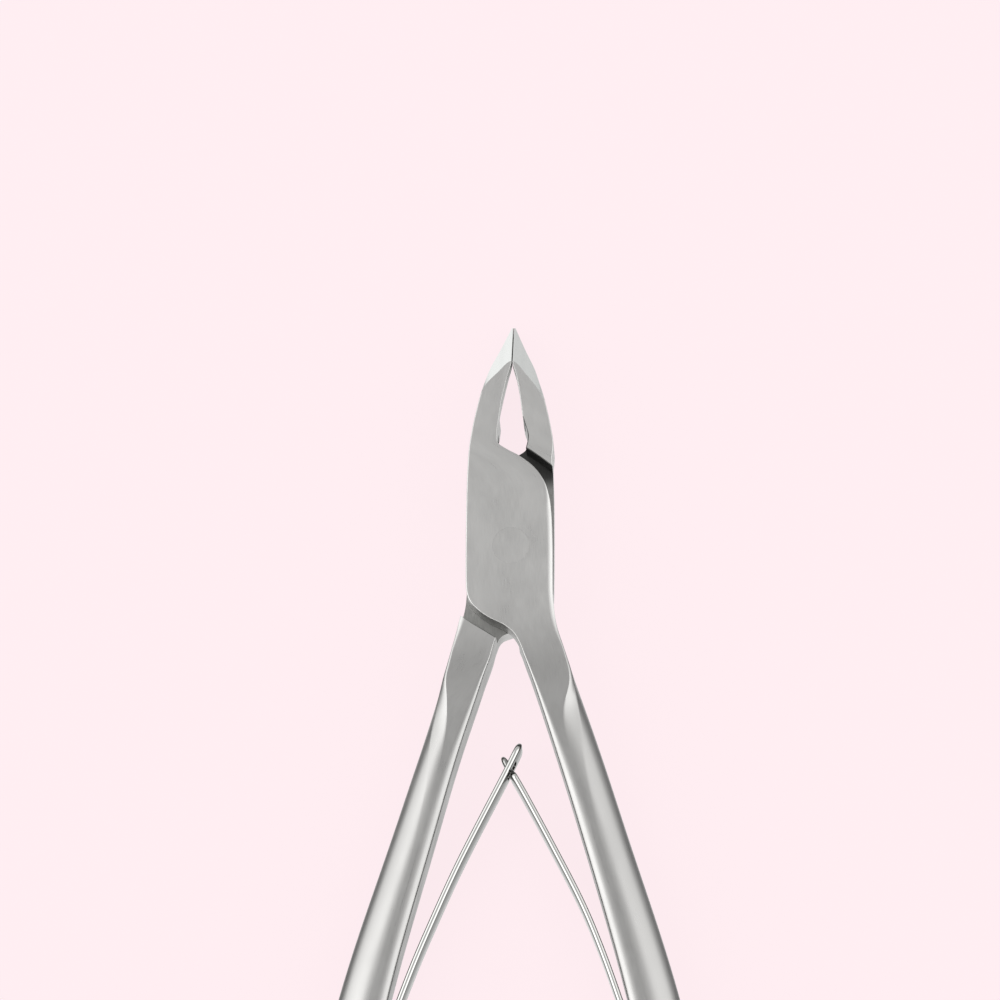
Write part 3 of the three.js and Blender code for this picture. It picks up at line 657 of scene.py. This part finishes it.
def paper(name, matt, glow):
    """Backlit paper: matt is how much it scatters the studio light, glow how much it gives itself."""
    m = bpy.data.materials.new(name)
    m.use_nodes = True
    shader = m.node_tree.nodes["Principled BSDF"]
    c = np.array(linear(PALE_PINK))
    shader.inputs["Base Color"].default_value = (*(c[:3] * matt), 1)
    shader.inputs["Roughness"].default_value = 1.0
    shader.inputs["Specular IOR Level"].default_value = 0.0
    shader.inputs["Emission Color"].default_value = tuple(c)
    shader.inputs["Emission Strength"].default_value = glow
    return m


R = 5.0
stage_mesh("studio_floor", [(-R, -R, 0), (R, -R, 0), (R, R, 0), (-R, R, 0)], [(0, 1, 2, 3)],
           paper("backlit_paper_floor", 0.045, 0.965), glossy=False)
ring = [(R * 0.95 * np.cos(t), R * 0.95 * np.sin(t)) for t in np.linspace(0, 2 * np.pi, 48, endpoint=False)]
stage_mesh("studio_wall", [(x, y, z) for z in (-0.2, 4.0) for x, y in ring],
           [(i, (i + 1) % 48, 48 + (i + 1) % 48, 48 + i) for i in range(48)],
           paper("backlit_paper_wall", 0.0, 1.0),
           glossy=False, diffuse=False, shadow=False, transmission=False)

world = bpy.data.worlds.new("studio_sky")
bpy.context.scene.world = world
world.use_nodes = True
sky = world.node_tree
way = node(sky, "ShaderNodeSeparateXYZ", [("Vector", node(sky, "ShaderNodeTexCoord").outputs["Generated"])])
# Angle round the long axis of the tool: 0 straight down, 0.25 to the left, 0.5 overhead, 0.75 right.
round_y = node(sky, "ShaderNodeMath", [(0, way.outputs["X"]), (1, way.outputs["Z"])], operation="ARCTAN2")
turn = node(sky, "ShaderNodeMapRange", [("Value", round_y.outputs[0])],
            in_From_Min=-np.pi, in_From_Max=np.pi)


def light_ramp(tree, source, stops):
    """Smooth grey ramp through (position, brightness) stops, slightly warm."""
    ramp = node(tree, "ShaderNodeValToRGB", [("Fac", source)])
    ramp.color_ramp.interpolation = "EASE"
    while len(ramp.color_ramp.elements) < len(stops):
        ramp.color_ramp.elements.new(0.5)
    for element, (position, value) in zip(ramp.color_ramp.elements, stops):
        element.position = position
    for element, (position, value) in zip(ramp.color_ramp.elements, stops):
        element.color = (value, value, value * 0.99, 1)
    return ramp


across = light_ramp(sky, turn.outputs["Result"], [
    (0.0, 1.02), (0.05, 0.85), (0.09, 0.30), (0.155, 0.20), (0.20, 0.50), (0.25, 1.65), (0.40, 1.95),
    (0.45, 0.95), (0.5, 0.47), (0.55, 0.85), (0.595, 1.55), (0.72, 1.65), (0.785, 0.60), (0.84, 0.22),
    (0.91, 0.30), (0.95, 0.85), (1.0, 1.02)])
ahead = light_ramp(sky, turn.outputs["Result"], [
    (0.0, 0.92), (0.15, 1.02), (0.42, 0.8), (0.5, 0.66), (0.58, 0.66), (0.85, 0.68), (1.0, 0.92)])
forward = node(sky, "ShaderNodeMapRange", [("Value", way.outputs["Y"])], in_From_Min=0.35, in_From_Max=0.75,
               interpolation_type="SMOOTHSTEP")
blend_sky = node(sky, "ShaderNodeMix", [("Factor", forward.outputs["Result"])], data_type="RGBA")
sky.links.new(across.outputs["Color"], blend_sky.inputs[6])
sky.links.new(ahead.outputs["Color"], blend_sky.inputs[7])
sky.links.new(blend_sky.outputs[2], sky.nodes["Background"].inputs["Color"])
sky.nodes["Background"].inputs["Strength"].default_value = 1.0


def soft_light(name, place, size, watts):
    data = bpy.data.lights.new(name, "AREA")
    data.shape, data.size, data.size_y, data.energy = "RECTANGLE", size[0], size[1], watts
    lamp = bpy.data.objects.new(name, data)
    lamp.location = place
    lamp.rotation_euler = (Vector((0, -0.03, 0)) - Vector(place)).to_track_quat("-Z", "Y").to_euler()
    lamp.visible_camera = False
    bpy.context.scene.collection.objects.link(lamp)


soft_light("left_softbox", (-0.75, 0.05, 0.5), (0.5, 0.9), 0.8)
soft_light("right_softbox", (0.75, 0.0, 0.5), (0.5, 0.9), 0.5)

# The camera looks down from the handle end, 15 degrees off the vertical and a little from the right.
cam_data = bpy.data.cameras.new("camera")
cam_data.sensor_width, cam_data.lens = 36.0, 172.8
camera = bpy.data.objects.new("camera", cam_data)
azimuth, elevation = np.radians(8.0), np.radians(74.7)
level = np.cos(elevation)
back = np.array([np.sin(azimuth) * level, -np.cos(azimuth) * level, np.sin(elevation)])
right = np.cross([0, 1, 0], back)
right /= np.linalg.norm(right)
up_axis = np.cross(back, right)
ROLL = 0.0066
cos_roll, sin_roll = np.cos(ROLL), np.sin(ROLL)
right, up_axis = right * cos_roll + up_axis * sin_roll, up_axis * cos_roll - right * sin_roll
target = np.array([-1.40, 5.84, THICK]) * MM
pose = np.eye(4)
pose[:3, 0], pose[:3, 1], pose[:3, 2], pose[:3, 3] = right, up_axis, back, target + 0.6 * back
camera.matrix_world = Matrix(pose)
cam_data.clip_start, cam_data.clip_end = 0.05, 50
bpy.context.scene.collection.objects.link(camera)
bpy.context.scene.camera = camera
bpy.context.scene.view_settings.view_transform = "Standard"
